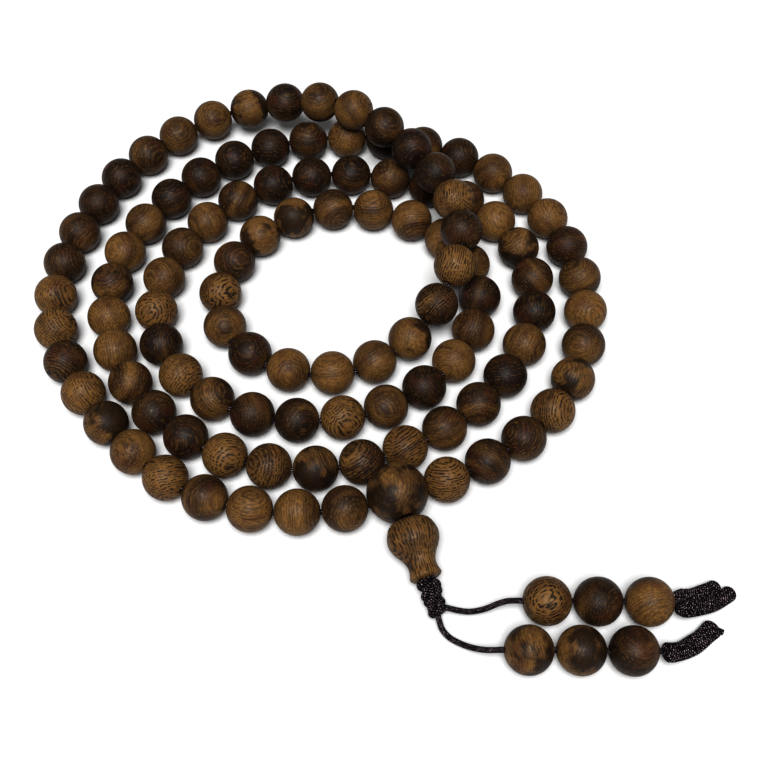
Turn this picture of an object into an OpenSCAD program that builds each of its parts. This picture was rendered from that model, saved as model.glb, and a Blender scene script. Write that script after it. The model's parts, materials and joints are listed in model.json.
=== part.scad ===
// A string of 108 round wooden prayer beads on one knotted cord, wound in a loose coil.
// The guru bead closes the ring, a gourd-shaped tower bead follows it, and past a knotted
// sleeve the cord leaves as two tails, each with three counter beads and a braided end.
// All sizes are for 8 mm beads; another bead size scales the whole string with it.

/* [Beads] */
// Diameter of the 108 main beads and of the counter beads
bead_d = 8; // [6:0.5:12]
// Diameter of the cord hole through a bead
hole_d = 1.6; // [1.4:0.1:2.0]
// Gap between neighbouring beads on the string
bead_gap = 0.06; // [0.04:0.01:0.1]

/* [Guru and tower] */
// Diameter of the three-hole guru bead
guru_d = 10.5; // [10:0.1:11]
// Length of the tower bead
tower_len = 10.4; // [9.6:0.1:10.8]
// Greatest diameter of the tower bead, at its bulb
bulb_d = 8.9; // [8:0.1:9]
// Diameter of the tower bead's neck
neck_d = 4.8; // [4.4:0.1:5.2]
// Diameter of the lip at the tower bead's foot
foot_d = 5.4; // [5:0.1:5.8]

/* [Cord and tails] */
// Diameter of the braided cord
cord_d = 1.0; // [0.8:0.1:1.1]
// Diameter of the knotted sleeve below the tower bead
sleeve_d = 4.0; // [3.6:0.1:4.4]
// Length of the knotted sleeve
sleeve_len = 6.4; // [5.8:0.1:6.8]
// Counter beads on each tail
counters = 3; // [1:1:3]

/* [Hidden] */
$fn = 64;
DESIGN_BEAD_D = 8;
bead_r = DESIGN_BEAD_D / 2;
pitch = DESIGN_BEAD_D + bead_gap;
guru_r = guru_d / 2;
cord_r = cord_d / 2;
UP = [0, 0, 1];

// Every third bead is a loose one that turns on the cord; the other eight of each dozen are a run
BEADS = 108;
DOZEN = 12;
LOOSE_STEP = 3;

// The coil: its centre on the floor, and the cord's distance from it every 30 degrees
coil_centre = [-9.5, 14];
TURN_STEP = 30;
inward_start = -60;
inward_radii = [
    49.5, 52, 50.5, 47, 42.5, 39, 37.5, 37.5, 39.5, 40.5, 41.5, 41.5,
    40.5, 41, 41.5, 37.5, 31.5, 28.5, 27.5, 27.5, 30, 32.5, 32.5, 31.5,
    31.5, 31.5, 31, 26.5, 22, 19, 17.5, 17, 18.5, 20.5, 21, 21.5, 22
];
// The last turn climbs over the other three: turn angle, radius and lift off the floor
crossing = [
    [1040, 22, 0], [1055, 23.5, 2.2], [1068, 25, 6.5], [1082, 27, 8.3],
    [1100, 29, 8.3], [1117, 30.5, 8], [1132, 32.5, 8], [1145, 35, 8],
    [1157, 38.5, 8.1], [1168, 42, 7.4], [1178, 45, 5], [1187, 48, 2.4], [1197, 50, 0.5]
];
outer_start = 1210;
outer_radii = [50, 49, 50, 48.5, 50.5, 49.5, 49.5];

route_table = concat(
    [for (i = [0 : len(inward_radii) - 1]) [inward_start + i * TURN_STEP, inward_radii[i], 0]],
    crossing,
    [for (i = [0 : len(outer_radii) - 1]) [outer_start + i * TURN_STEP, outer_radii[i], 0]]
);

// Slope of column c at row i of a table whose first column rises
function slope(table, i, c) =
    let (a = table[max(i - 1, 0)], b = table[min(i + 1, len(table) - 1)])
    (b[c] - a[c]) / (b[0] - a[0]);

// Column c of the table at x, on a smooth curve through the rows; x lies after row i
function smooth(table, i, c, x) =
    let (p = table[i], q = table[i + 1], w = q[0] - p[0], t = (x - p[0]) / w)
    p[c] * (1 - t) * (1 - t) * (1 + 2 * t) + q[c] * t * t * (3 - 2 * t)
    + w * t * (1 - t) * (slope(table, i, c) * (1 - t) - slope(table, i + 1, c) * t);

// The row of the table that x comes after
function row(table, x, i = 0) =
    i >= len(table) - 2 || x < table[i + 1][0] ? i : row(table, x, i + 1);

// A point of the cord's route round the coil at turn angle a
function route(a) =
    let (
        i = row(route_table, a),
        r = smooth(route_table, i, 1, a),
        lift = max(0, smooth(route_table, i, 2, a))
    )
    [coil_centre.x + r * cos(a), coil_centre.y + r * sin(a), bead_r + lift];

// The turn angle between lo and hi at which the route is a given distance from point p
function reach(p, dist, lo, hi, n = 22) =
    let (mid = (lo + hi) / 2)
    n == 0 ? mid
    : norm(route(mid) - p) < dist ? reach(p, dist, mid, hi, n - 1)
    : reach(p, dist, lo, mid, n - 1);

// The next joint after those at angles a and b. Two pitches from the one before last would
// put neighbouring bead centres one pitch apart; EASE keeps the steps from alternating.
EASE = 0.1;
SWEEP = 70;
function next_joint(a, b) =
    let (
        full = reach(route(a), 2 * pitch, b, b + SWEEP),
        step = (1 - EASE) * norm(route(full) - route(b)) + EASE * norm(route(b) - route(a))
    )
    reach(route(b), step, b, b + SWEEP);

// The joints where one bead meets the next; a bead's hole runs from joint to joint
first_joint = -66;
second_joint = reach(route(first_joint), pitch, first_joint, first_joint + SWEEP);
joint_angles = [
    for (
        i = 0, a = first_joint, b = second_joint;
        i <= BEADS;
        c = next_joint(a, b), i = i + 1, a = b, b = c
    ) a
];
joints = [for (a = joint_angles) route(a)];

// The guru bead closes the ring between the last joint and the first
function flat(p) = [p.x, p.y, 0];
function unit(v) = v / norm(v);
ring_end = (joints[0] + joints[BEADS]) / 2;
guru_centre = flat(ring_end) + [0, 0, guru_r];
outward = unit(flat(ring_end) - flat(coil_centre));
azimuth = atan2(outward.y, outward.x);
outlet_r = 1.35;
BORE_OVERLAP = 0.8;

// The stem: tower bead and sleeve lie along one line that dips from the guru bead's outlet
EXIT_DROP = 0.1;
stem_dip = 10;
pivot = guru_centre + outward * guru_r - [0, 0, EXIT_DROP];
TOWER_START = 0.2;
sleeve_start = TOWER_START + tower_len + 0.15;
pair_offset = cord_r + 0.02;
stem_cord_start = -0.25;
strand_end = guru_r - 0.6;

// Tower bead outline: share of its length, then radius
tower_outline = [
    [0, 1.9], [0.05, bulb_d * 0.33], [0.15, bulb_d * 0.45], [0.3, bulb_d * 0.5],
    [0.45, bulb_d * 0.455], [0.6, bulb_d * 0.335], [0.75, neck_d / 2],
    [0.88, foot_d * 0.475], [0.95, foot_d / 2], [1, foot_d * 0.44]
];
OUTLINE_STEPS = 40;

// Knotted sleeve outline: share of its length, then share of its radius; one swell per knot
sleeve_outline = [
    [0, 0.82], [0.12, 0.98], [0.24, 1], [0.36, 0.9], [0.48, 1], [0.6, 0.96],
    [0.7, 0.84], [0.8, 0.92], [0.92, 0.86], [1, 0.6]
];
socket_r = cord_r + 0.3;

// Routes of the two tail cords, from the sleeve through the counter beads to the end braids
upper_route = [
    [13, -52.1, 2.4], [14.2, -52.3, 2.2], [15.6, -52.5, 1.9], [17.2, -52.6, 1.7],
    [18.8, -52.5, 1.9], [20.3, -52.3, 2.5], [21.6, -52, 3.2], [22.8, -51.8, 3.75],
    [24, -51.7, 4], [27, -51.7, 4], [30, -51.7, 4], [34, -51.7, 4], [38, -51.7, 4],
    [42, -51.7, 4], [46, -51.7, 4], [49, -51.7, 4], [51.6, -51.6, 3.7]
];
lower_route = [
    [12.2, -53.2, 2.2], [12.5, -54.5, 1.9], [13, -55.8, 1.6], [14.1, -57, 1.4],
    [15.6, -57.9, 1.4], [17.1, -58.7, 1.8], [18.5, -59.4, 2.6], [19.8, -59.9, 3.4],
    [21, -60.1, 3.9], [22.4, -60.1, 4], [26, -60.1, 4], [30, -60.1, 4], [34, -60.1, 4],
    [38, -60.1, 4], [42, -60.1, 4], [45.5, -60.1, 4], [48.4, -59.9, 3.5]
];
// Upper and lower counter beads: the first one's place along X, and the row's place along Y
upper_first = [29.8, -51.7];
lower_first = [26.4, -60.1];
COUNTER_PITCH = 8.25;

// End braids: points along each with the half width and half height there.
// The lower one ends in a stub of its cord.
upper_braid = [
    [50.5, -51.7, 3.9, 0.6, 0.6], [51.1, -51.7, 3.6, 1.7, 1.1], [52.3, -51.6, 3.1, 2.4, 1.3],
    [54.6, -51.2, 2.2, 2.5, 1.35], [57.6, -50.1, 1.6, 2.5, 1.35], [60, -48.4, 1.45, 2.3, 1.3],
    [61, -47.6, 1.4, 1.5, 1], [61.3, -47.35, 1.4, 0.6, 0.5]
];
lower_braid = [
    [47.4, -60.1, 3.9, 0.6, 0.6], [48, -60.1, 3.6, 1.2, 0.85], [49.2, -59.8, 3, 1.6, 0.95],
    [51.4, -58.9, 2, 1.7, 0.95], [54, -57.2, 1.3, 1.7, 0.95], [56.3, -55.2, 1.05, 1.5, 0.9],
    [57, -54.7, 1, 1, 0.7], [57.4, -54.6, 0.9, 0.5, 0.5], [58.3, -54.9, 0.6, 0.5, 0.5]
];
BRAID_SIDES = 12;
CORD_SIDES = 8;

function is_loose(i) = i % LOOSE_STEP == 0;
function bead_name(i) = str("bead_", i < 9 ? "00" : i < 99 ? "0" : "", i + 1);
function run_name(d) = str("bead_run_", d + 1);
function counter_name(side, i) = str("counter_bead_", side, "_", i + 1);

DARK_WOOD = [0.25, 0.17, 0.09];
GOLDEN_WOOD = [0.42, 0.3, 0.15];
BLACK_CORD = [0.06, 0.05, 0.06];

// The whole string grows with the bead diameter
module sized() {
    scale(bead_d / DESIGN_BEAD_D) children();
}

// Children's Z axis laid along the line from p to q, with their origin at p
module aim(p, q) {
    v = q - p;
    translate(p) rotate([0, acos(v.z / norm(v)), atan2(v.y, v.x)]) children();
}

// Children's Z axis laid along the stem, s from the pivot
module along_stem(s) {
    translate(pivot) rotate([0, 90 + stem_dip, azimuth]) translate([0, 0, s]) children();
}

// A solid swept along rows of x, y, z, half width and half height; it is never vertical
module sweep(rows, sides) {
    last = len(rows) - 1;
    function place(i) = [rows[i].x, rows[i].y, rows[i].z];
    rings = [
        for (i = [0 : last])
            let (
                along = unit(place(min(i + 1, last)) - place(max(i - 1, 0))),
                side = unit(cross(UP, along)),
                rise = cross(along, side)
            )
            for (k = [0 : sides - 1])
                place(i) + rows[i][3] * cos(k * 360 / sides) * side
                + rows[i][4] * sin(k * 360 / sides) * rise
    ];
    walls = [
        for (i = [0 : last - 1])
            for (k = [0 : sides - 1])
                let (a = i * sides + k, b = i * sides + (k + 1) % sides)
                for (triangle = [[a, b, b + sides], [a, b + sides, a + sides]]) triangle
    ];
    first_cap = [for (k = [sides - 1 : -1 : 0]) k];
    last_cap = [for (k = [0 : sides - 1]) last * sides + k];
    polyhedron(rings, concat([first_cap], walls, [last_cap]));
}

// A round tube along a route
module tube(path, r) {
    sweep([for (p = path) concat(p, [r, r])], CORD_SIDES);
}

// A turned shape from an outline of [share of length, radius] rows
module turned(outline, length, radius_unit = 1) {
    rotate_extrude()
        polygon(concat(
            [[0, 0]],
            [
                for (k = [0 : OUTLINE_STEPS])
                    let (x = k / OUTLINE_STEPS, i = row(outline, x))
                    [radius_unit * smooth(outline, i, 1, x), length * x]
            ],
            [[0, length]]
        ));
}

// One drilled round bead with its hole from joint p to joint q
module bead(p, q) {
    aim((p + q) / 2, q)
        difference() {
            sphere(d = DESIGN_BEAD_D);
            cylinder(d = hole_d, h = 2 * DESIGN_BEAD_D, center = true);
        }
}

// A bead that turns by itself
module loose_bead(i) {
    color(i % (2 * LOOSE_STEP) == 0 ? DARK_WOOD : GOLDEN_WOOD)
        sized() bead(joints[i], joints[i + 1]);
}

// The eight beads of a dozen between its four loose ones
module bead_run(d) {
    color(d % 2 == 0 ? GOLDEN_WOOD : DARK_WOOD)
        sized()
            for (i = [d * DOZEN : (d + 1) * DOZEN - 1])
                if (!is_loose(i)) bead(joints[i], joints[i + 1]);
}

// The larger bead with a hole to each side and an outlet towards the tower bead
module guru_bead() {
    color(GOLDEN_WOOD)
        sized()
            difference() {
                translate(guru_centre) sphere(r = guru_r);
                for (side = [joints[0], joints[BEADS]])
                    aim(guru_centre, side)
                        translate([0, 0, -BORE_OVERLAP]) cylinder(d = hole_d, h = 2 * guru_r);
                aim(guru_centre, pivot)
                    translate([0, 0, -BORE_OVERLAP]) cylinder(r = outlet_r, h = 2 * guru_r);
            }
}

// The gourd-shaped bead: bulb, neck and lipped foot, drilled for two cords
module tower_bead() {
    color(GOLDEN_WOOD)
        sized()
            along_stem(TOWER_START)
                difference() {
                    turned(tower_outline, tower_len);
                    cylinder(r = outlet_r, h = 3 * tower_len, center = true);
                }
}

// The cord inside the ring of beads, from the guru bead's outlet round and back to it
module strand_cord() {
    across = cross(UP, outward);
    function inner(side) =
        let (way = unit((side > 0 ? joints[0] : joints[BEADS]) - guru_centre))
        [
            guru_centre + outward * strand_end + across * side * pair_offset,
            guru_centre + outward * 0.9 + across * side * pair_offset,
            guru_centre + outward * 0.15 + across * side * 1.3,
            guru_centre + way * 2.2
        ];
    out = inner(-1);
    color(BLACK_CORD)
        sized() tube(concat(inner(1), joints, [for (i = [3 : -1 : 0]) out[i]]), cord_r);
}

// The two cords side by side in the tower bead
module stem_cord() {
    color(BLACK_CORD)
        sized()
            along_stem(stem_cord_start)
                for (side = [-1, 1])
                    translate([0, side * pair_offset, 0])
                        cylinder(r = cord_r, h = sleeve_start - stem_cord_start);
}

// The knotted sleeve, with a socket where each tail cord comes out
module knot_sleeve() {
    color(BLACK_CORD)
        sized()
            difference() {
                along_stem(sleeve_start) turned(sleeve_outline, sleeve_len, sleeve_d / 2);
                for (path = [upper_route, lower_route])
                    aim(path[0], path[1]) translate([0, 0, -0.3]) cylinder(r = socket_r, h = 4);
            }
}

// A tail's cord, from the sleeve through its counter beads
module tail_cord(path) {
    color(BLACK_CORD) sized() tube(path, cord_r);
}

// One counter bead of a tail
module counter_bead(first, i) {
    color(i == 1 ? DARK_WOOD : GOLDEN_WOOD)
        sized()
            let (x = first.x + i * COUNTER_PITCH)
            bead([x - bead_r, first.y, bead_r], [x + bead_r, first.y, bead_r]);
}

// The flat braid that a tail ends in
module end_braid(rows) {
    color(BLACK_CORD) sized() sweep(rows, BRAID_SIDES);
}

guru_bead();
tower_bead();
strand_cord();
stem_cord();
knot_sleeve();
tail_cord(upper_route);  // tail_cord_upper
tail_cord(lower_route);  // tail_cord_lower
end_braid(upper_braid);  // end_braid_upper
end_braid(lower_braid);  // end_braid_lower
for (i = [0 : counters - 1]) {
    counter_bead(upper_first, i);
    counter_bead(lower_first, i);
}
for (i = [0 : LOOSE_STEP : BEADS - 1])
    loose_bead(i);
for (d = [0 : BEADS / DOZEN - 1])
    bead_run(d);
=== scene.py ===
"""A string of 108 wooden prayer beads, coiled on a pale floor, with its guru bead, tower bead,
knotted sleeve and two tails of counter beads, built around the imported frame."""

import json
import math
import random

import bmesh
import bpy
import numpy as np
from mathutils import Matrix, Vector


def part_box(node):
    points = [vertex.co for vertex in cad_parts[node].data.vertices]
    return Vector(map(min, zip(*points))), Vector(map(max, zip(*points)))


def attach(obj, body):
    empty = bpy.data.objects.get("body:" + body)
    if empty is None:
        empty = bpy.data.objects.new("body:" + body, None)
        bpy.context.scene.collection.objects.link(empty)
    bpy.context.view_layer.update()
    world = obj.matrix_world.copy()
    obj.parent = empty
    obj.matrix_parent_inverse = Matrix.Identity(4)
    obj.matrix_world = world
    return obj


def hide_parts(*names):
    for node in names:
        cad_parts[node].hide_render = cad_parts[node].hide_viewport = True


bl_info = {
    "name": "Prayer Bead String",
    "version": (1, 0, 0),
    "blender": (4, 5, 0),
    "location": "View3D > Sidebar > Prayer Beads",
    "description": "Builds a coiled string of wooden prayer beads with a knotted, braided cord",
    "category": "Add Mesh",
}

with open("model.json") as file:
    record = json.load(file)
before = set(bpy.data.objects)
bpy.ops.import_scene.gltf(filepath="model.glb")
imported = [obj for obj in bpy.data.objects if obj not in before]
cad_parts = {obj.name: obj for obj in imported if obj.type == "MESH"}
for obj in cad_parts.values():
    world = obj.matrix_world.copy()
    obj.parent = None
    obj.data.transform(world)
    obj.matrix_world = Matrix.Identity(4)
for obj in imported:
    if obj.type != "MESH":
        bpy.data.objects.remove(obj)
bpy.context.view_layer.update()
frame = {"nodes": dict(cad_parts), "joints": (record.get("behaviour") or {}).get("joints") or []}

MM = 0.001
CIRCLE = 2 * math.pi
UP = Vector((0, 0, 1))

# The string is nine dozen beads, of which every third turns on the cord
DOZENS = 9
DOZEN = 12
LOOSE_STEP = 3
HALF_GAP = 0.03 * MM
SIDES = ("upper", "lower")
COUNTERS = 3

# The routes of the two tail cords, from the knotted sleeve through the counter beads
TAIL_ROUTES = {
    "upper": [
        (0.013, -0.0521, 0.0024), (0.0142, -0.0523, 0.0022), (0.0156, -0.0525, 0.0019),
        (0.0172, -0.0526, 0.0017), (0.0188, -0.0525, 0.0019), (0.0203, -0.0523, 0.0025),
        (0.0216, -0.052, 0.0032), (0.0228, -0.0518, 0.00375), (0.024, -0.0517, 0.004),
        (0.027, -0.0517, 0.004), (0.03, -0.0517, 0.004), (0.034, -0.0517, 0.004),
        (0.038, -0.0517, 0.004), (0.042, -0.0517, 0.004), (0.046, -0.0517, 0.004),
        (0.049, -0.0517, 0.004), (0.0516, -0.0516, 0.0037),
    ],
    "lower": [
        (0.0122, -0.0532, 0.0022), (0.0125, -0.0545, 0.0019), (0.013, -0.0558, 0.0016),
        (0.0141, -0.057, 0.0014), (0.0156, -0.0579, 0.0014), (0.0171, -0.0587, 0.0018),
        (0.0185, -0.0594, 0.0026), (0.0198, -0.0599, 0.0034), (0.021, -0.0601, 0.0039),
        (0.0224, -0.0601, 0.004), (0.026, -0.0601, 0.004), (0.03, -0.0601, 0.004),
        (0.034, -0.0601, 0.004), (0.038, -0.0601, 0.004), (0.042, -0.0601, 0.004),
        (0.0455, -0.0601, 0.004), (0.0484, -0.0599, 0.0035),
    ],
}

# The middle line of each braided end
END_LINES = {
    "upper": [
        (0.0506, -0.0516, 0.0036), (0.0524, -0.0513, 0.0028), (0.0544, -0.0507, 0.0021),
        (0.0572, -0.0495, 0.0016), (0.0594, -0.0481, 0.0015), (0.0606, -0.0472, 0.0014),
    ],
    "lower": [
        (0.0475, -0.0601, 0.0036), (0.0492, -0.0598, 0.0028), (0.0514, -0.0589, 0.0018),
        (0.054, -0.0572, 0.0013), (0.0563, -0.0552, 0.0011), (0.0573, -0.0544, 0.001),
    ],
}
# Lobes of each end: sideways offset, half width, half height, and share of the line's length
END_LOBES = {
    "upper": [(0.00108, 0.00138, 0.00125, 0.84), (-0.00108, 0.0014, 0.00135, 0.95)],
    "lower": [(0.0, 0.00165, 0.001, 1.0)],
}
# The bare stub of cord that sticks out of the lower braid's end
STUB_LINE = [(0.0562, -0.0551, 0.001), (0.0573, -0.0551, 0.0008), (0.0583, -0.0554, 0.0006)]


class BeadSettings(bpy.types.PropertyGroup):
    """Sizes of the turned wooden beads"""

    bore_d: bpy.props.FloatProperty(
        name="Hole diameter", description="Diameter of the cord hole",
        default=0.0016, min=0.0014, max=0.002, unit="LENGTH")
    outlet_d: bpy.props.FloatProperty(
        name="Outlet diameter", description="Diameter of the guru bead's hole for two cords",
        default=0.0027, min=0.0022, max=0.003, unit="LENGTH")
    lip: bpy.props.FloatProperty(
        name="Rounded lip", description="Width of the rounding at each hole's mouth",
        default=0.00014, min=0.0001, max=0.0004, unit="LENGTH")
    uneven: bpy.props.FloatProperty(
        name="Unevenness", description="How far hand turning leaves a bead out of round",
        default=0.00003, min=0.0, max=0.00006, unit="LENGTH")
    seed: bpy.props.IntProperty(
        name="Wood seed", description="Chooses how the beads were cut from the log",
        default=11, min=0)


class WoodSettings(bpy.types.PropertyGroup):
    """Colours and figure of the wood"""

    pale: bpy.props.FloatVectorProperty(
        name="Golden wood", description="Colour of the palest layers", subtype="COLOR",
        size=3, default=(0.160, 0.082, 0.0245), min=0, max=1)
    brown: bpy.props.FloatVectorProperty(
        name="Brown wood", description="Colour of the middling layers", subtype="COLOR",
        size=3, default=(0.036, 0.0168, 0.0058), min=0, max=1)
    dark: bpy.props.FloatVectorProperty(
        name="Dark wood", description="Colour of the darkest layers", subtype="COLOR",
        size=3, default=(0.0088, 0.0043, 0.0025), min=0, max=1)
    pore: bpy.props.FloatVectorProperty(
        name="Pores", description="Colour inside the open pores", subtype="COLOR",
        size=3, default=(0.0040, 0.0023, 0.0017), min=0, max=1)
    red: bpy.props.FloatVectorProperty(
        name="Red flush", description="Colour of the reddish flushes", subtype="COLOR",
        size=3, default=(0.060, 0.0165, 0.0066), min=0, max=1)
    layer: bpy.props.FloatProperty(
        name="Layer spacing", description="Distance between lines of pores, in millimetres",
        default=0.46, min=0.3, max=1.2)
    polish: bpy.props.FloatProperty(
        name="Polish", description="Roughness of the waxed surface between the pores",
        default=0.41, min=0.1, max=0.9)


class CordSettings(bpy.types.PropertyGroup):
    """Sizes and colour of the braided cord"""

    cord_d: bpy.props.FloatProperty(
        name="Cord diameter", description="Diameter of the braided cord",
        default=0.001, min=0.0008, max=0.0011, unit="LENGTH")
    pitch: bpy.props.FloatProperty(
        name="Braid pitch", description="Length in which a yarn goes once round the cord",
        default=0.0032, min=0.0015, max=0.005, unit="LENGTH")
    colour: bpy.props.FloatVectorProperty(
        name="Cord colour", description="Near-black dye of the yarn", subtype="COLOR",
        size=3, default=(0.0020, 0.0014, 0.0017), min=0, max=1)


class StageSettings(bpy.types.PropertyGroup):
    """Floor, light and camera"""

    floor: bpy.props.FloatVectorProperty(
        name="Floor", description="Colour of the plain floor", subtype="COLOR",
        size=3, default=(0.58, 0.58, 0.58), min=0, max=1)
    key_power: bpy.props.FloatProperty(
        name="Key light", description="Power of the soft light over the camera, in watts",
        default=76, min=0)
    sky: bpy.props.FloatProperty(
        name="Sky", description="Strength of the even light all round", default=0.22, min=0)
    tilt: bpy.props.FloatProperty(
        name="Camera tilt", description="Angle between the camera's line and straight down",
        default=math.radians(34.97), subtype="ANGLE")
    lens: bpy.props.FloatProperty(
        name="Lens", description="Focal length in millimetres", default=59.66, min=20)


SETTINGS = {
    "mala_beads": BeadSettings, "mala_wood": WoodSettings,
    "mala_cord": CordSettings, "mala_stage": StageSettings,
}


# ---- places read from the frame ----

def middle(node):
    """Centre of a frame node's box"""
    low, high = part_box(node)
    return (low + high) / 2


def joint(name):
    """A joint's row, by its name"""
    return next(row for row in frame["joints"] if row["name"] == name)


BEAD_R = (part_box("counter_bead_upper_1")[1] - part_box("counter_bead_upper_1")[0]).y / 2
GURU_R = (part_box("guru_bead")[1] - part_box("guru_bead")[0]).y / 2
PIVOT = Vector(joint("stem_swing")["pos_m"])
STEM_WAY = Vector(joint("tower_spin")["axis"]).normalized()


def along_stem(node):
    """First and last distance of a node from the pivot, along the stem"""
    reach = [(v.co - PIVOT).dot(STEM_WAY) for v in frame["nodes"][node].data.vertices]
    return min(reach), max(reach)


WELD_REACH = 1e-6


def islands(node):
    """The separate solids of a frame node, each as a list of welded vertices"""
    welded = bmesh.new()
    welded.from_mesh(frame["nodes"][node].data)
    bmesh.ops.remove_doubles(welded, verts=welded.verts, dist=WELD_REACH)
    seen = set()
    for start in welded.verts:
        if start in seen:
            continue
        seen.add(start)
        found = [start]
        for vertex in found:
            for edge in vertex.link_edges:
                other = edge.other_vert(vertex)
                if other not in seen:
                    seen.add(other)
                    found.append(other)
        yield found
    welded.free()


# Faces nearer to a bead's centre than this share of its radius are the walls of its hole
BORE_REACH = 0.8


def bead_places(node):
    """Centre and hole direction of each drilled bead in a frame node. The centre is that of the
    best ball through its points; the hole's direction is square to the faces of its walls."""
    places = []
    for vertices in islands(node):
        points = np.array([v.co for v in vertices], float)
        system = np.column_stack([2 * points, np.ones(len(points))])
        centre = np.linalg.lstsq(system, (points ** 2).sum(1), rcond=None)[0][:3]
        faces = {face for v in vertices for face in v.link_faces}
        bore = [
            face.normal for face in sorted(faces, key=lambda face: face.index)
            if np.linalg.norm(np.array(face.calc_center_median()) - centre) < BEAD_R * BORE_REACH
        ]
        axis = np.linalg.svd(np.array(bore, float))[2][-1]
        places.append((Vector(centre), Vector(axis)))
    return places


def strand_places():
    """Centre and hole direction of all 108 beads, in the order of the string"""
    strand = []
    for dozen in range(DOZENS):
        fixed = bead_places(f"bead_run_{dozen + 1}")
        loose = {
            place: bead_places(f"bead_{dozen * DOZEN + place + 1:03d}")[0]
            for place in range(0, DOZEN, LOOSE_STEP)
        }
        for place in range(DOZEN):
            if place in loose:
                strand.append(loose[place])
                continue
            last = strand[-1][0]
            nearest = min(fixed, key=lambda found: (found[0] - last).length)
            fixed.remove(nearest)
            strand.append(nearest)
    ordered = []
    for i, (centre, axis) in enumerate(strand):
        ahead = strand[min(i + 1, len(strand) - 1)][0] - strand[max(i - 1, 0)][0]
        ordered.append((centre, axis if axis.dot(ahead) > 0 else -axis))
    return ordered


STRAND = strand_places()


def strand_joints():
    """Where each bead of the string meets the next, with the two free ends"""
    half = BEAD_R + HALF_GAP
    ends = [(centre - axis * half, centre + axis * half) for centre, axis in STRAND]
    between = [(bead[1] + after[0]) / 2 for bead, after in zip(ends, ends[1:])]
    return [ends[0][0], *between, ends[-1][1]]


# ---- shader wiring ----

class Wire:
    """An output socket that takes part in Python arithmetic"""

    def __init__(self, shader, socket):
        self.shader = shader
        self.socket = socket

    def maths(self, operation, *terms):
        """A Math node on the given terms, or on this socket alone"""
        return self.shader.node(
            "ShaderNodeMath", {"operation": operation}, dict(enumerate(terms or (self,))))

    def __add__(self, other):
        return self.maths("ADD", self, other)

    def __radd__(self, other):
        return self.maths("ADD", other, self)

    def __sub__(self, other):
        return self.maths("SUBTRACT", self, other)

    def __rsub__(self, other):
        return self.maths("SUBTRACT", other, self)

    def __mul__(self, other):
        return self.maths("MULTIPLY", self, other)

    def __rmul__(self, other):
        return self.maths("MULTIPLY", other, self)

    def wave(self, count):
        """A sine wave from 0 to 1 that has this many crests in each unit"""
        return (self * (CIRCLE * count)).maths("SINE") * 0.5 + 0.5

    def at_most(self, other):
        return self.maths("MINIMUM", self, other)

    def at_least(self, other):
        return self.maths("MAXIMUM", self, other)

    def smooth(self, low, high):
        """0 below low, 1 above high, and a smooth step between them"""
        return self.shader.node(
            "ShaderNodeMapRange", {"interpolation_type": "SMOOTHSTEP"},
            {"Value": self, "From Min": low, "From Max": high}, "Result")

    def stretched(self, x, y, z):
        """A vector with each part multiplied"""
        return self.shader.node(
            "ShaderNodeVectorMath", {"operation": "MULTIPLY"}, {0: self, 1: (x, y, z)})

    def noise(self, scale=1.0, detail=1.0, roughness=0.5):
        """Smooth noise at a vector, from 0 to 1"""
        return self.shader.node(
            "ShaderNodeTexNoise", {},
            {"Vector": self, "Scale": scale, "Detail": detail, "Roughness": roughness})

    def parts(self):
        """The three parts of a vector"""
        split = self.shader.node("ShaderNodeSeparateXYZ", {}, {"Vector": self})
        return [Wire(self.shader, socket) for socket in split.socket.node.outputs]

    def mixed(self, low, high):
        """The colour low where this is 0 and high where it is 1"""
        return self.shader.node(
            "ShaderNodeMix", {"data_type": "RGBA"},
            {0: self.at_least(0.0).at_most(1.0), 6: low, 7: high}, 2)


class Shader:
    """A material whose nodes are written as expressions"""

    def __init__(self, name):
        self.material = bpy.data.materials.new(name)
        self.material.use_nodes = True
        self.tree = self.material.node_tree
        self.tree.nodes.clear()

    def node(self, kind, settings, inputs, output=0):
        """Adds a node, sets its settings, then fills its sockets with values or links"""
        made = self.tree.nodes.new(kind)
        for name, value in settings.items():
            setattr(made, name, value)
        for name, value in inputs.items():
            if isinstance(value, Wire):
                self.tree.links.new(value.socket, made.inputs[name])
            else:
                colour = made.inputs[name].type == "RGBA"
                made.inputs[name].default_value = (*value, 1.0) if colour else value
        return Wire(self, made.outputs[output])

    def attribute(self, name):
        """A vector kept on the mesh"""
        return self.node("ShaderNodeAttribute", {"attribute_name": name}, {}, "Vector")

    def bump(self, height, depth, strength):
        """A normal from a height between 0 and 1"""
        return self.node(
            "ShaderNodeBump", {},
            {"Height": height, "Distance": depth, "Strength": strength}, "Normal")

    def finish(self, **sockets):
        """Puts the surface together and returns the material"""
        names = {name.replace("_", " "): value for name, value in sockets.items()}
        surface = self.node("ShaderNodeBsdfPrincipled", {}, names, "BSDF")
        output = self.tree.nodes.new("ShaderNodeOutputMaterial")
        self.tree.links.new(surface.socket, output.inputs["Surface"])
        return self.material


PORE_DEPTH = 0.05 * MM
FIBRE_DEPTH = 0.03 * MM
BUMP_STRENGTH = 0.6
# How much of its own colour each feature of the wood shows over the ground
FLUSH_SHARE = 0.38
HEARTWOOD_SHARE = 0.88
PORE_SHARE = 0.86


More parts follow.
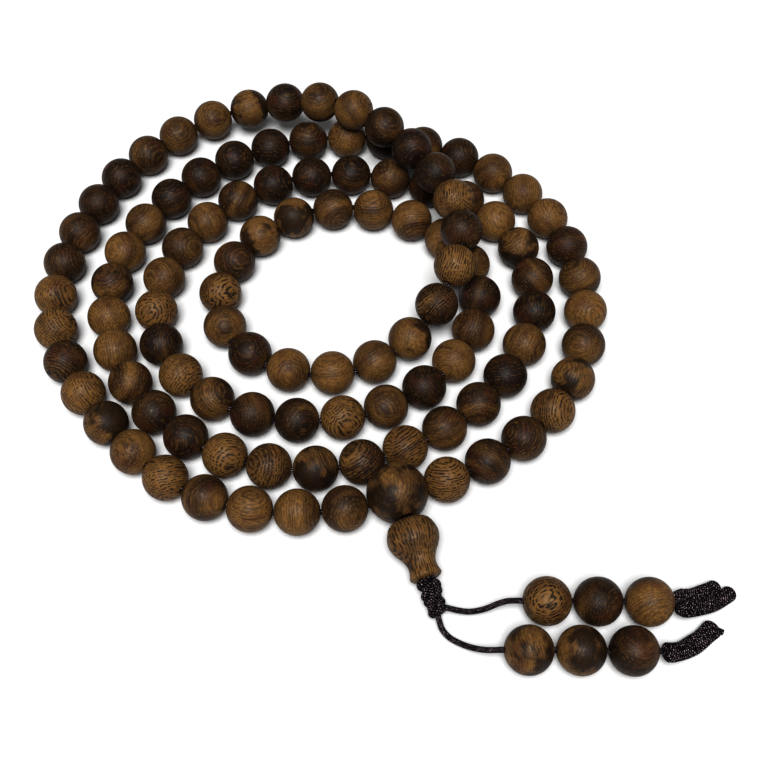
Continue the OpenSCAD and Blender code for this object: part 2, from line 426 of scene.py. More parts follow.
def wood(name, timber):
    """Oiled palm-like wood: golden and dark layers, lines of dark pores, fine silky streaks.
    The mesh keeps "grain", a place in the log in millimetres with the fibres along Z, and
    "timber": how golden the piece is, how strong its lines are and how much is heartwood."""
    shader = Shader(name)
    log = shader.attribute("grain")
    golden, figure, heart = shader.attribute("timber").parts()

    sway = log.stretched(0.22, 0.22, 0.07).noise(detail=2.0)
    ripple = log.stretched(1.2, 1.2, 0.35).noise(detail=1.0)
    depth = log.parts()[0] + 2.4 * sway + 0.55 * ripple
    lines = depth.wave(1 / timber.layer)
    breaks = log.stretched(1.1, 3.2, 0.85).noise(detail=1.0).smooth(0.36, 0.53)
    dashes = lines.smooth(0.28, 0.70) * breaks
    gleams = log.stretched(1.4, 3.6, 1.0).noise(detail=1.0).smooth(0.45, 0.60)
    streaks = (1 - lines).smooth(0.45, 0.90) * gleams
    flecks = log.stretched(4.8, 4.8, 1.0).noise(detail=2.0, roughness=0.62).smooth(0.45, 0.61)
    silk = log.stretched(7.5, 7.5, 0.5).noise(detail=2.0)
    bands = log.stretched(0.42, 0.10, 0.05).noise(detail=2.0) - 0.5
    cloud = log.stretched(0.19, 0.19, 0.15).noise(detail=2.0)
    flush = log.stretched(0.33, 0.33, 0.20).noise(detail=2.0).smooth(0.50, 0.68)
    heartwood = (cloud + 0.22 * (ripple - 0.5)).smooth(0.44, 0.57) * heart

    tone = golden + bands * 1.9 + (silk - 0.5) * 0.6
    ground = tone.smooth(-0.15, 0.55).mixed(timber.dark, timber.brown)
    ground = tone.smooth(0.25, 1.05).mixed(ground, timber.pale)
    ground = (streaks * (0.15 + 0.4 * figure)).mixed(ground, timber.pale)
    ground = (flush * FLUSH_SHARE).mixed(ground, timber.red)
    ground = (heartwood * HEARTWOOD_SHARE).mixed(ground, timber.dark)
    open_pores = (dashes * figure).at_least(flecks * (0.62 - 0.12 * figure))
    colour = (open_pores * PORE_SHARE).mixed(ground, timber.pore)

    return shader.finish(
        Base_Color=colour,
        Roughness=timber.polish + open_pores * 0.22 + (silk - 0.5) * 0.16,
        Normal=shader.bump(1 - open_pores + silk * 0.3, PORE_DEPTH, BUMP_STRENGTH),
        Specular_IOR_Level=0.14,
    )


# Ticks across each yarn, how fine its glints are, and colours of painted crown highlights and
# glints
TICKS = 3
GLINT_SCALE = 5200.0
CROWN_HIGHLIGHT_COLOUR = (0.008, 0.0052, 0.0066)
GLINT_HIGHLIGHT_COLOUR = (0.66, 0.51, 0.55)
CROWN_HIGHLIGHT_SHARE = 0.9
GLINT_SHARE = 0.8


def yarn(name, cord):
    """Near-black braided yarn: fine ticks across strands, painted highlights and pale glints on
    crowns.
    The mesh keeps "lay": the two braid phases, and how far out the point stands."""
    shader = Shader(name)
    left, right, crown = shader.attribute("lay").parts()
    fibres = left.wave(TICKS) * 0.5 + right.wave(TICKS) * 0.5
    place = shader.node("ShaderNodeTexCoord", {}, {}, "Object")
    peak = crown.smooth(0.72, 0.97)
    # Painted glints: pale specks on the crowns stand in for light catching the glossy yarn
    painted_glints = place.noise(GLINT_SCALE).smooth(0.50, 0.66) * peak
    # Painted highlight: the crowns are coloured paler where light would catch them
    colour = (peak * fibres.smooth(0.2, 0.7) * CROWN_HIGHLIGHT_SHARE).mixed(cord.colour, CROWN_HIGHLIGHT_COLOUR)
    colour = (painted_glints * GLINT_SHARE).mixed(colour, GLINT_HIGHLIGHT_COLOUR)
    return shader.finish(
        Base_Color=colour,
        Roughness=0.60 - painted_glints * 0.25,
        Normal=shader.bump(fibres, FIBRE_DEPTH, BUMP_STRENGTH),
        Specular_IOR_Level=0.02,
    )


# ---- mesh making ----

def keep_vectors(mesh, name, values):
    """Stores one vector a vertex"""
    layer = mesh.attributes.new(name, "FLOAT_VECTOR", "POINT")
    layer.data.foreach_set("vector", np.asarray(values, np.float32).ravel())


def make_piece(name, points, faces, material, body, node):
    """A smooth mesh piece that rides on a body and stands for a frame node"""
    mesh = bpy.data.meshes.new(name)
    mesh.from_pydata(np.asarray(points, float).tolist(), [], faces)
    mesh.shade_smooth()
    mesh.materials.append(material)
    piece = bpy.data.objects.new(name, mesh)
    bpy.context.scene.collection.objects.link(piece)
    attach(piece, body)
    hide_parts(node)
    return piece


def grid_faces(rows, columns, close_rows, start=0):
    """Quads of a grid whose columns go round, and whose rows may too"""
    faces = []
    for i in range(rows if close_rows else rows - 1):
        for j in range(columns):
            here, below = start + i * columns, start + (i + 1) % rows * columns
            k = (j + 1) % columns
            faces.append((here + j, below + j, below + k, here + k))
    return faces


LIP_STEPS = 6
BORE_STEPS = 8


def rounded(start, corner, end):
    """Points on a curve from start to end that bends towards a corner"""
    t = np.linspace(0, 1, LIP_STEPS)[:, None]
    start, corner, end = (np.array(p, float) for p in (start, corner, end))
    return (1 - t) ** 2 * start + 2 * t * (1 - t) * corner + t ** 2 * end


def bead_section(radius, bore_r, lip, rows):
    """Radius and height round the section of a drilled ball, over the outside and back"""
    start = math.asin((bore_r + lip) / radius)
    angles = np.linspace(start, math.pi - start, rows)
    outside = np.column_stack([radius * np.sin(angles), radius * np.cos(angles)])
    edge = outside[0]
    corner = (bore_r, edge[1] + lip * math.tan(start))
    inside = (bore_r, edge[1] - lip)
    mouth = rounded(inside, corner, edge)[:-1]
    flipped = mouth[::-1] * (1, -1)
    heights = np.linspace(-inside[1], inside[1], BORE_STEPS)[1:-1]
    bore = np.column_stack([np.full(len(heights), bore_r), heights])
    return np.concatenate([outside, flipped, bore, mouth])


def lathe(section, columns):
    """Points of a section turned round the Z axis"""
    turn = np.arange(columns) * CIRCLE / columns
    ring = np.column_stack([np.cos(turn), np.sin(turn), np.zeros(columns)])
    points = section[:, None, 0:1] * ring
    points[..., 2] += section[:, 1:2]
    return points.reshape(-1, 3)


def aimed(axis):
    """Rotation that lays the Z axis along another"""
    return np.array(UP.rotation_difference(axis).to_matrix(), float)


def random_turn(chance):
    """A random rotation"""
    way = Vector([chance.gauss(0, 1) for _ in range(4)]).normalized()
    turn = Matrix.Rotation(chance.uniform(0, CIRCLE), 3, Vector(way[:3]))
    return np.array(turn, float)


# Reach of the log that the beads are cut from, in millimetres, and how far wood of one kind varies
LOG_SIZE = 60
TIMBER_SPREAD = 0.1
BEAD_ROWS = 41
BEAD_COLUMNS = 72
# Only what stands further out than this share of a bead's radius is uneven
SKIN = 0.9


def keep_wood(piece, local, turn, chance, kind):
    """Gives a wooden piece its place in the log and its kind of wood"""
    corner = [chance.uniform(-LOG_SIZE, LOG_SIZE) for _ in range(3)]
    golden, figure, heart = TIMBER_KINDS[kind]
    golden += chance.uniform(-TIMBER_SPREAD, TIMBER_SPREAD)
    figure += chance.uniform(-TIMBER_SPREAD, TIMBER_SPREAD)
    keep_vectors(piece.data, "grain", local @ turn.T / MM + corner)
    keep_vectors(piece.data, "timber", np.tile((golden, figure, heart), (len(local), 1)))


def drilled_bead(name, centre, axis, settings, material, body, node, chance, kind):
    """One turned bead with a rounded lip at each end of its hole. Three slow waves sink its skin
    by a hair, so that it isn't quite round; the hole stays true."""
    section = bead_section(BEAD_R, settings.bore_d / 2, settings.lip, BEAD_ROWS)
    local = lathe(section, BEAD_COLUMNS)
    waves = np.array([[chance.uniform(-1, 1) for _ in range(3)] for _ in range(3)])
    phases = [chance.uniform(0, CIRCLE) for _ in range(3)]
    sink = (1.5 + np.sin(local / BEAD_R * 2 @ waves.T + phases).sum(1) / 2) / 3
    reach = np.linalg.norm(local, axis=1, keepdims=True)
    outer = np.clip((reach / BEAD_R - SKIN) / (1 - SKIN), 0, 1)
    local = local * (1 - outer * settings.uneven * sink[:, None] / BEAD_R)
    points = local @ aimed(axis).T + np.array(centre)
    faces = grid_faces(len(section), BEAD_COLUMNS, True)
    piece = make_piece(name, points, faces, material, body, node)
    keep_wood(piece, local, random_turn(chance), chance, kind)


SPAN_POINTS = 24


def smooth_line(points, step):
    """Points about a step apart on a smooth curve through the given ones"""
    given = np.array(points, float)
    padded = np.concatenate([[2 * given[0] - given[1]], given, [2 * given[-1] - given[-2]]])
    fine = []
    for a, b, c, d in zip(padded, padded[1:], padded[2:], padded[3:]):
        t = np.linspace(0, 1, SPAN_POINTS, endpoint=False)[:, None]
        fine.append(b + 0.5 * t * (
            c - a + t * (2 * a - 5 * b + 4 * c - d + t * (3 * (b - c) + d - a))))
    fine = np.concatenate([*fine, given[-1:]])
    along = distances(fine)
    places = np.linspace(0, along[-1], max(2, round(along[-1] / step) + 1))
    return np.column_stack([np.interp(places, along, column) for column in fine.T])


def distances(line):
    """Distance along a line to each of its points"""
    steps = np.linalg.norm(np.diff(line, axis=0), axis=1)
    return np.concatenate([[0], np.cumsum(steps)])


def directions(line):
    """Unit direction of a line at each of its points"""
    ways = np.gradient(line, axis=0)
    return ways / np.linalg.norm(ways, axis=1, keepdims=True)


# A direction that rises more steeply than this counts as upright
UPRIGHT = 0.9


def frames(line):
    """For each point of a line, two unit vectors across it that don't twist"""
    ways = directions(line)
    side = np.cross(ways[0], (0, 0, 1) if abs(ways[0][2]) < UPRIGHT else (1, 0, 0))
    sides = []
    for way in ways:
        side = side - way * (side @ way)
        side = side / np.linalg.norm(side)
        sides.append(side)
    sides = np.array(sides)
    return sides, np.cross(ways, sides)


def flat_frames(line):
    """For each point of a line, unit vectors across it: one level, one upward"""
    ways = directions(line)
    sides = np.cross(ways, (0, 0, 1))
    sides /= np.linalg.norm(sides, axis=1, keepdims=True)
    return sides, np.cross(sides, ways)


# Yarns of the plain cord, and columns of points for each yarn of it and of the thicker braids
CORD_YARNS = 7
THIN_YARN_COLUMNS = 4
THICK_YARN_COLUMNS = 6
# The groove between yarns, as a share of the radius: no deeper than the first, and shallower
# where the yarns are many
BRAID_DEPTH = 0.16
YARN_RELIEF = 1.1
# Height of a yarn's crown, and how much it gains going over another and loses going under
CROWN = 0.82
LIFT = 0.18


def braided_tube(line, half_sizes, yarns, pitch, flat, start):
    """Points, faces and braid phases of a cord braided from yarns of both hands, each going over
    and under the others. Half sizes are its half width and half height, for each point or for the
    whole line. A line that ends where it starts makes a ring, with a whole number of crossings."""
    sides, rises = (flat_frames if flat else frames)(line)
    columns = yarns * (THICK_YARN_COLUMNS if yarns > CORD_YARNS else THIN_YARN_COLUMNS)
    half_sizes = np.broadcast_to(half_sizes, (len(line), 2))
    along = distances(line)[:, None]
    closed = np.allclose(line[0], line[-1])
    if closed:
        crossings = round(float(along[-1, 0]) / pitch * yarns)
        pitch = float(along[-1, 0]) * yarns / crossings
        line, sides, rises = line[:-1], sides[:-1], rises[:-1]
        half_sizes, along = half_sizes[:-1], along[:-1]
    turn = (np.arange(columns) / columns)[None, :]
    left = turn * yarns + along / pitch * yarns
    right = turn * yarns - along / pitch * yarns
    over = np.sin(math.pi * left) * np.sin(math.pi * right)
    high = np.maximum(
        np.abs(np.sin(math.pi * left)) * (CROWN + LIFT * over),
        np.abs(np.sin(math.pi * right)) * (CROWN - LIFT * over))
    swell = 1 - min(BRAID_DEPTH, YARN_RELIEF / yarns) * (1 - high)
    angle = CIRCLE * turn
    across = half_sizes[:, :1] * swell * np.cos(angle)
    upward = half_sizes[:, 1:] * swell * np.sin(angle)
    points = (
        line[:, None, :] + sides[:, None, :] * across[..., None]
        + rises[:, None, :] * upward[..., None]).reshape(-1, 3)
    faces = grid_faces(len(line), columns, closed, start)
    if not closed:
        last = start + (len(line) - 1) * columns
        faces.append(tuple(range(start + columns - 1, start - 1, -1)))
        faces.append(tuple(range(last, last + columns)))
    lay = np.stack([left, right, high], axis=-1).reshape(-1, 3)
    return points, faces, lay


def cord_piece(name, tubes, material, body, node):
    """One piece made of braided tubes, each given as its line, half sizes, number of yarns,
    pitch, and whether it lies flat"""
    points, faces, lays = [], [], []
    for tube in tubes:
        start = sum(len(p) for p in points)
        tube_points, tube_faces, lay = braided_tube(*tube, start)
        points.append(tube_points)
        faces += tube_faces
        lays.append(lay)
    piece = make_piece(name, np.concatenate(points), faces, material, body, node)
    keep_vectors(piece.data, "lay", np.concatenate(lays))
    return piece


def round_cord(line, settings):
    """A plain round cord along a line"""
    radius = settings.cord_d / 2
    return line, (radius, radius), CORD_YARNS, settings.pitch, False


def material_once(name, make, *facts):
    """A material by name, made the first time that it is asked for"""
    return bpy.data.materials.get(name) or make(name, *facts)


# ---- operators ----

# Distance between the points of each kind of cord's line
FINE_STEP = 0.1 * MM
TAIL_STEP = 0.08 * MM
STRAND_STEP = 0.45 * MM
KNOT_STEP = 0.12 * MM
# How far each of two cords side by side lies from their middle, in cord diameters
BESIDE = 0.52

CAMERA_PLACE = (0.0036, -0.139, 0.1906)
CAMERA_TURN = math.radians(0.47)
SENSOR_WIDTH = 36
NEAREST = 0.005
FLOOR_SIZE = 6.0
KEY_PLACE = (-0.06, -0.8, 1.83)
KEY_SIZE = 1.0
# Gamma of the view: under 1 deepens the dark tones
CONTRAST = 0.8


class MALA_OT_stage(bpy.types.Operator):
    """Adds the camera, the plain floor, the soft light over the camera and an even sky"""

    bl_idname = "mala.stage"
    bl_label = "Stage"

    def execute(self, context):
        settings = context.scene.mala_stage
        camera_data = bpy.data.cameras.new("camera")
        camera_data.lens = settings.lens
        camera_data.sensor_width = SENSOR_WIDTH
        camera_data.clip_start = NEAREST
        camera = bpy.data.objects.new("camera", camera_data)
        camera.location = CAMERA_PLACE
        camera.rotation_euler = (settings.tilt, 0, CAMERA_TURN)
        context.scene.collection.objects.link(camera)
        context.scene.camera = camera

        half = FLOOR_SIZE / 2
        mesh = bpy.data.meshes.new("floor")
        mesh.from_pydata(
            [(-half, -half, 0), (half, -half, 0), (half, half, 0), (-half, half, 0)], [],
            [(0, 1, 2, 3)])
        paint = Shader("plain_floor").finish(Base_Color=tuple(settings.floor), Roughness=0.9)
        mesh.materials.append(paint)
        floor = bpy.data.objects.new("floor", mesh)
        context.scene.collection.objects.link(floor)

        light = bpy.data.lights.new("key_light", "AREA")
        light.shape = "DISK"
        light.size = KEY_SIZE
        light.energy = settings.key_power
        key = bpy.data.objects.new("key_light", light)
        key.location = KEY_PLACE
        key.rotation_euler = key.location.to_track_quat("Z", "Y").to_euler()
        context.scene.collection.objects.link(key)

        world = bpy.data.worlds.new("even_sky")
        world.use_nodes = True
        background = world.node_tree.nodes["Background"]
        background.inputs["Color"].default_value = (1, 1, 1, 1)
        background.inputs["Strength"].default_value = settings.sky
        context.scene.world = world
        context.scene.view_settings.view_transform = "Standard"
        context.scene.view_settings.gamma = CONTRAST
        return {"FINISHED"}


class MALA_OT_braided_ends(bpy.types.Operator):
    """Weaves the thick end of each tail: two lobes side by side above, one with a stub below"""

    bl_idname = "mala.braided_ends"
    bl_label = "Braided ends"

    def execute(self, context):
        settings = context.scene.mala_cord
        material = material_once("woven_yarn", yarn, settings)
        for side in SIDES:
            line = smooth_line(END_LINES[side], FINE_STEP)
            tubes = [woven_lobe(line, *lobe) for lobe in END_LOBES[side]]
            if side == "lower":
                tubes.append(round_cord(smooth_line(STUB_LINE, FINE_STEP), settings))
            cord_piece(
                f"braided_tail_{side}", tubes, material, f"{side}_tail", f"end_braid_{side}")
        return {"FINISHED"}


LOBE_YARNS = 10
LOBE_PITCH = 4.6 * MM
ROUNDED_START = 0.9 * MM
ROUNDED_END = 1.1 * MM
END_SHARE = 0.02
LUMP_HEIGHT = 0.035
LUMP_LENGTH = 0.8 * MM
# Share of its offset that a lobe starts with, and the length over which it would gain a whole one
SPREAD_FIRST = 0.35
SPREAD_LENGTH = 2.5 * MM


def woven_lobe(line, offset, half_width, half_height, length):
    """One woven lobe beside a line, as long as a share of it, with rounded ends. It leaves the
    line gradually, and is a little lumpy."""
    level = flat_frames(line)[0]
    line = line[: round(len(line) * length)]
    along = distances(line)
    at_start = np.clip(1 - along / ROUNDED_START, 0, 1)
    at_end = np.clip(1 - (along[-1] - along) / ROUNDED_END, 0, 1)
    share = np.sqrt(
        np.clip(1 - at_start ** 2, END_SHARE, 1) * np.clip(1 - at_end ** 2, END_SHARE, 1))
    lumps = 1 + LUMP_HEIGHT * np.sin(along / LUMP_LENGTH)
    half_sizes = np.column_stack([half_width * share * lumps, half_height * share])
    spread = np.minimum(1, SPREAD_FIRST + along / SPREAD_LENGTH)
    centre = line - level[: len(line)] * (offset * spread)[:, None]
    return centre, half_sizes, LOBE_YARNS, LOBE_PITCH, True


class MALA_OT_tail_cords(bpy.types.Operator):
    """Lays the two free tail cords from the knotted sleeve to their braided ends"""

    bl_idname = "mala.tail_cords"
    bl_label = "Tail cords"

    def execute(self, context):
        settings = context.scene.mala_cord
        material = material_once("braided_yarn", yarn, settings)
        for side in SIDES:
            line = smooth_line(TAIL_ROUTES[side], TAIL_STEP)
            piece = cord_piece(
                f"tail_{side}", [round_cord(line, settings)], material, f"{side}_tail",
                f"tail_cord_{side}")
            length = float(distances(line)[-1])
            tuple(TAIL_ROUTES[side][0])
        return {"FINISHED"}


# Places on the cord's way inside the guru bead: in from the outlet, before and after it bends
# aside near the middle, and out along the side hole
OUTLET_DEPTH = 0.6 * MM
FORK_START = 0.9 * MM
FORK_END = 0.15 * MM
FORK_SPREAD = 1.3 * MM
SIDE_HOLE_DEPTH = 2.2 * MM


class MALA_OT_strand_cord(bpy.types.Operator):
    """Runs the cord through all the beads, with both ends side by side in the guru bead"""

    bl_idname = "mala.strand_cord"
    bl_label = "Strand cord"

    def execute(self, context):
        settings = context.scene.mala_cord
        material = material_once("braided_yarn", yarn, settings)
        guru = middle("guru_bead")
        joints = strand_joints()
        outward = Vector((PIVOT.x - guru.x, PIVOT.y - guru.y, 0)).normalized()
        across = UP.cross(outward)
        beside = settings.cord_d * BESIDE

        def into_guru(end, hand):
            """The cord's way from the outlet to one side hole, bending apart at the middle"""
            way = (end - guru).normalized()
            return [
                guru + outward * (GURU_R - OUTLET_DEPTH) + across * hand * beside,
                guru + outward * FORK_START + across * hand * beside,
                guru + outward * FORK_END + across * hand * FORK_SPREAD,
                guru + way * SIDE_HOLE_DEPTH,
            ]

        route = [*into_guru(joints[0], 1), *joints, *into_guru(joints[-1], -1)[::-1]]
        cord_piece(
            "cord_through_beads", [round_cord(smooth_line(route, STRAND_STEP), settings)],
            material, "strand", "strand_cord")
        return {"FINISHED"}


class MALA_OT_stem_cords(bpy.types.Operator):
    """Runs the two cords side by side from the guru bead through the tower bead"""

    bl_idname = "mala.stem_cords"
    bl_label = "Stem cords"

    def execute(self, context):
        settings = context.scene.mala_cord
        material = material_once("braided_yarn", yarn, settings)
        first, last = along_stem("stem_cord")
        across = UP.cross(STEM_WAY).normalized() * settings.cord_d * BESIDE
        start, end = PIVOT + STEM_WAY * first, PIVOT + STEM_WAY * last
        tubes = []
        for hand in (-1, 1):
            line = smooth_line([start + across * hand, end + across * hand], FINE_STEP)
            tubes.append(round_cord(line, settings))
        cord_piece("cords_through_tower", tubes, material, "tail_stem", "stem_cord")
        return {"FINISHED"}


KNOT_LOOPS = 4
KNOT_TILT = math.radians(14)
KNOT_YARNS = 9
KNOT_PITCH = 3.6 * MM
KNOT_CORE = (1.5 * MM, 1.35 * MM)
# The first loop's yarn radius, half width and half height, and how much less each is in the last
LOOP_YARN, LOOP_YARN_LESS = 0.95 * MM, 0.16
LOOP_WIDE, LOOP_WIDE_LESS = 1.08 * MM, 0.20
LOOP_HIGH, LOOP_HIGH_LESS = 0.92 * MM, 0.25
LOOP_INSET = 1.05
LOOP_POINTS = 49


class MALA_OT_knot_sleeve(bpy.types.Operator):
    """Ties the stack of knots below the tower bead, each loop slanting against the last"""

    bl_idname = "mala.knot_sleeve"
    bl_label = "Knotted sleeve"

    def execute(self, context):
        settings = context.scene.mala_cord
        material = material_once("woven_yarn", yarn, settings)
        first, last = along_stem("knot_sleeve")
        way = np.array(STEM_WAY)
        across = np.array(UP.cross(STEM_WAY).normalized())
        rise = np.cross(way, across)
        inset = LOOP_INSET * LOOP_YARN
        spacing = (last - first - 2 * inset) / (KNOT_LOOPS - 1)
        turn = np.linspace(0, CIRCLE, LOOP_POINTS)
        tubes = []
        for k in range(KNOT_LOOPS):
            share = k / (KNOT_LOOPS - 1)
            thick = LOOP_YARN * (1 - LOOP_YARN_LESS * share)
            wide = LOOP_WIDE * (1 - LOOP_WIDE_LESS * share)
            high = LOOP_HIGH * (1 - LOOP_HIGH_LESS * share)
            slant = wide * math.tan(KNOT_TILT) * (-1) ** k
            centre = np.array(PIVOT) + way * (first + inset + spacing * k)
            loop = (
                centre + across * (wide * np.cos(turn))[:, None]
                + rise * (high * np.sin(turn))[:, None]
                + way * (slant * np.cos(turn))[:, None])
            line = smooth_line(loop, KNOT_STEP)
            tubes.append((line, (thick, thick), KNOT_YARNS, KNOT_PITCH, False))
        start, end = PIVOT + STEM_WAY * first, PIVOT + STEM_WAY * (last - LOOP_YARN)
        line = smooth_line([start, end], KNOT_STEP)
        tubes.append((line, KNOT_CORE, KNOT_YARNS, KNOT_PITCH, False))
        cord_piece("knots_below_tower", tubes, material, "tail_stem", "knot_sleeve")
        return {"FINISHED"}


# The kind of wood of each bead, three dozen a line: g golden, m mid brown, d dark, s golden with
# strong lines, k brown with strong lines, t two-tone with dark heartwood
TIMBER_CHART = (
    "sdmstmgmdggm" "dmmgdddddmgt" "ggmmdsstksmm"
    "dgdmtgmdmddd" "mmmgsdsmddsm" "dgmdmgggmttm"
    "smdggmtksdsd" "ddgmdtmmmddm" "msskstgsmggm"
)
# How golden each kind is, how strong its lines are and how much of it is heartwood; w is only
# the tower bead's: the palest, with strong lines and a little heartwood
TIMBER_KINDS = {
    "g": (0.78, 0.65, 0.0), "m": (0.48, 0.60, 0.0), "d": (0.12, 0.45, 0.0),
    "s": (0.88, 1.00, 0.0), "k": (0.35, 1.00, 0.0), "t": (0.72, 0.60, 1.0),
    "w": (0.95, 1.00, 0.3),
}
COUNTER_KINDS = {"upper": "sdg", "lower": "ttd"}
GURU_KIND = "t"
TOWER_KIND = "w"


class MALA_OT_strand_beads(bpy.types.Operator):
    """Turns the 108 beads of the string; every third one spins on the cord"""

    bl_idname = "mala.strand_beads"
    bl_label = "Strand beads"

    def execute(self, context):
        settings = context.scene.mala_beads
        material = material_once("strand_timber", wood, context.scene.mala_wood)
        for i, (centre, axis) in enumerate(STRAND):
            chance = random.Random(settings.seed * 1000 + i)
            loose = i % LOOSE_STEP == 0
            node = f"bead_{i + 1:03d}" if loose else f"bead_run_{i // DOZEN + 1}"
            body = f"loose_{i + 1:03d}" if loose else "strand"
            drilled_bead(
                f"wood_bead_{i + 1:03d}", centre, axis, settings, material, body, node,
                chance, TIMBER_CHART[i])
        return {"FINISHED"}


class MALA_OT_counter_beads(bpy.types.Operator):
    """Turns the three counter beads of each tail"""

    bl_idname = "mala.counter_beads"
    bl_label = "Counter beads"

    def execute(self, context):
        settings = context.scene.mala_beads
        material = material_once("counter_timber", wood, context.scene.mala_wood)
        for side in SIDES:
            for i in range(COUNTERS):
                chance = random.Random(settings.seed * 2000 + SIDES.index(side) * COUNTERS + i)
                node = f"counter_bead_{side}_{i + 1}"
                centre, axis = bead_places(node)[0]
                drilled_bead(
                    f"wood_counter_{side}_{i + 1}", centre, axis, settings, material,
                    f"counter_{side}_{i + 1}", node, chance,
                    COUNTER_KINDS[side][i])
        return {"FINISHED"}


GURU_COLUMNS = 128
GURU_ROWS = 80
SHARP_EDGE = math.radians(50)


class MALA_OT_guru_bead(bpy.types.Operator):
    """Turns the guru bead and drills a hole to each side and an outlet to the tower"""

    bl_idname = "mala.guru_bead"
    bl_label = "Guru bead"

    def execute(self, context):
        settings = context.scene.mala_beads
        material = material_once("guru_timber", wood, context.scene.mala_wood)
        centre = middle("guru_bead")
        joints = strand_joints()
        holes = [
            (joints[0] - centre, settings.bore_d / 2),
            (joints[-1] - centre, settings.bore_d / 2),
            (PIVOT - centre, settings.outlet_d / 2),
        ]
        ball = bmesh.new()
        bmesh.ops.create_uvsphere(
            ball, u_segments=GURU_COLUMNS, v_segments=GURU_ROWS, radius=GURU_R)
        points = [v.co.copy() for v in ball.verts]
        faces = [tuple(v.index for v in face.verts) for face in ball.faces]
        ball.free()
        piece = make_piece(
            "guru", [centre + p for p in points], faces, material, "strand", "guru_bead")
        for way, radius in holes:
            cutter = hole_cutter(centre, way.normalized(), radius, settings.lip)
            cut = piece.modifiers.new("hole", "BOOLEAN")
            cut.operation = "DIFFERENCE"
            cut.solver = "EXACT"
            cut.object = cutter
        bake_modifiers(piece)
        piece.data.set_sharp_from_angle(angle=SHARP_EDGE)
        chance = random.Random(settings.seed + 5)
        local = np.array([v.co for v in piece.data.vertices], float) - np.array(centre)
        keep_wood(piece, local, random_turn(chance), chance, GURU_KIND)
        return {"FINISHED"}


CUTTER_SIDES = 48
# How far the cutter reaches past the bead's centre, and out beyond its surface
CUTTER_FOOT = 0.8 * MM
CUTTER_TOP = 1 * MM


def hole_cutter(centre, way, radius, lip):
    """A solid that drills a hole with a rounded mouth into the guru bead"""
    edge = math.sqrt(GURU_R ** 2 - (radius + lip) ** 2)
    start = math.asin((radius + lip) / GURU_R)
    mouth = rounded(
        (radius, edge - lip), (radius, edge + lip * math.tan(start)), (radius + lip, edge))
    section = np.array(
        [(radius, -CUTTER_FOOT), *mouth, (radius + lip * 2, edge + CUTTER_TOP)])
    points = lathe(section, CUTTER_SIDES) @ aimed(way).T + np.array(centre)
    faces = [face[::-1] for face in grid_faces(len(section), CUTTER_SIDES, False)]
    top = (len(section) - 1) * CUTTER_SIDES
    faces.append(tuple(range(CUTTER_SIDES - 1, -1, -1)))
    faces.append(tuple(range(top, top + CUTTER_SIDES)))
    mesh = bpy.data.meshes.new("cutter")
    mesh.from_pydata(points.tolist(), [], faces)
    cutter = bpy.data.objects.new("cutter", mesh)
    bpy.context.scene.collection.objects.link(cutter)
    return cutter


def bake_modifiers(piece):
    """Makes a piece's modifiers part of its mesh and removes the cutters that they used"""
    evaluated = piece.evaluated_get(bpy.context.evaluated_depsgraph_get())
    mesh = bpy.data.meshes.new_from_object(evaluated)
    cutters = [m.object for m in piece.modifiers if m.type == "BOOLEAN"]
    piece.modifiers.clear()
    piece.data = mesh
    mesh.shade_smooth()
    for cutter in cutters:
        bpy.data.objects.remove(cutter)


TOWER_BORE = 2.15 * MM
TOWER_COLUMNS = 96
OUTLINE_STEP = 0.16 * MM
WALL_ROWS = 16
# The tower bead's outline: share of its length, then radius in millimetres
TOWER_OUTLINE = [
    (0.012, 2.5), (0.03, 3.0), (0.08, 3.65), (0.18, 4.15), (0.30, 4.42), (0.42, 4.2),
    (0.52, 3.65), (0.62, 2.95), (0.72, 2.5), (0.80, 2.38), (0.87, 2.48), (0.93, 2.66),
    (0.965, 2.68), (0.99, 2.45),
]


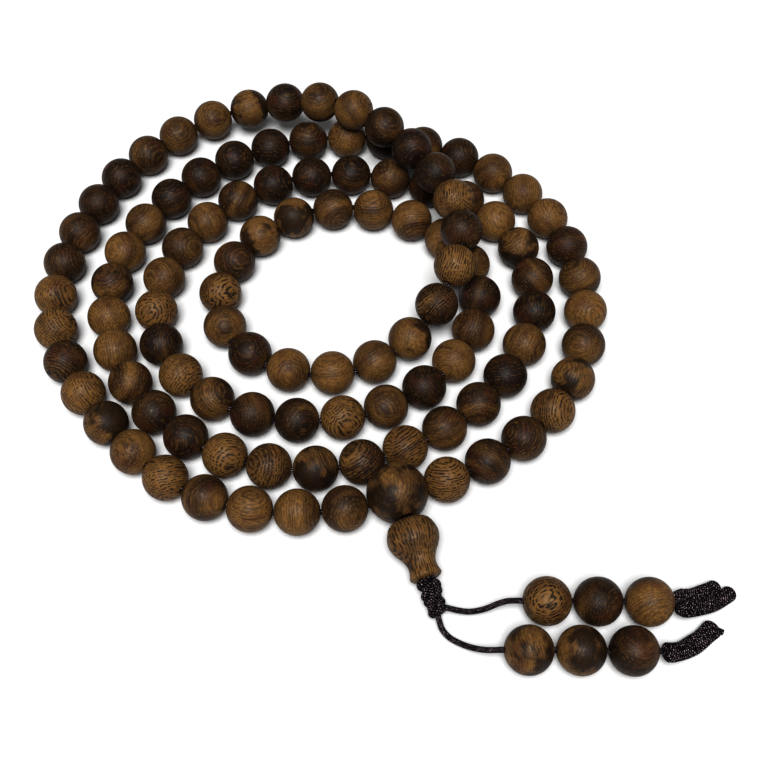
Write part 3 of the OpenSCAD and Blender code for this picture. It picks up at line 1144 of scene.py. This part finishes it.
class MALA_OT_tower_bead(bpy.types.Operator):
    """Turns the gourd-shaped tower bead: bulb, neck and lipped foot"""

    bl_idname = "mala.tower_bead"
    bl_label = "Tower bead"

    def execute(self, context):
        settings = context.scene.mala_beads
        material = material_once("tower_timber", wood, context.scene.mala_wood)
        first, last = along_stem("tower_bead")
        length = last - first
        bore, lip = TOWER_BORE / 2, settings.lip
        outline = smooth_line(
            [(radius * MM, share * length) for share, radius in TOWER_OUTLINE], OUTLINE_STEP)
        top = rounded((bore, lip), (bore, 0), (bore + lip, 0))
        foot = rounded((bore + lip, length), (bore, length), (bore, length - lip))
        heights = np.linspace(length - lip, lip, WALL_ROWS)[1:-1]
        wall = np.column_stack([np.full(len(heights), bore), heights])
        section = np.concatenate([top, outline, foot, wall])
        local = lathe(section, TOWER_COLUMNS)
        points = local @ aimed(STEM_WAY).T + np.array(PIVOT + STEM_WAY * first)
        faces = [face[::-1] for face in grid_faces(len(section), TOWER_COLUMNS, True)]
        piece = make_piece("tower", points, faces, material, "tower", "tower_bead")
        chance = random.Random(settings.seed + 9)
        keep_wood(piece, local, np.eye(3), chance, TOWER_KIND)
        return {"FINISHED"}


class MALA_PT_panel(bpy.types.Panel):
    """Lists the pieces of the string and their settings"""

    bl_idname = "MALA_PT_panel"
    bl_label = "Prayer Beads"
    bl_space_type = "VIEW_3D"
    bl_region_type = "UI"
    bl_category = "Prayer Beads"

    def draw(self, context):
        for name, group in SETTINGS.items():
            box = self.layout.box()
            for prop in group.__annotations__:
                box.prop(getattr(context.scene, name), prop)
        for step in STEPS:
            self.layout.operator(step.bl_idname)


STEPS = (
    MALA_OT_stage, MALA_OT_braided_ends, MALA_OT_tail_cords, MALA_OT_knot_sleeve,
    MALA_OT_stem_cords, MALA_OT_strand_cord, MALA_OT_strand_beads, MALA_OT_counter_beads,
    MALA_OT_guru_bead, MALA_OT_tower_bead,
)


def register():
    """Registers the settings, the operators and the panel"""
    for name, group in SETTINGS.items():
        bpy.utils.register_class(group)
        setattr(bpy.types.Scene, name, bpy.props.PointerProperty(type=group))
    for step in STEPS:
        bpy.utils.register_class(step)
    bpy.utils.register_class(MALA_PT_panel)


def unregister():
    """Takes everything away again"""
    bpy.utils.unregister_class(MALA_PT_panel)
    for step in reversed(STEPS):
        bpy.utils.unregister_class(step)
    for name, group in SETTINGS.items():
        delattr(bpy.types.Scene, name)
        bpy.utils.unregister_class(group)


def main():
    """Builds the whole string"""
    register()
    for step in STEPS:
        family, name = step.bl_idname.split(".")
        getattr(getattr(bpy.ops, family), name)()


if __name__ == "__main__":
    main()
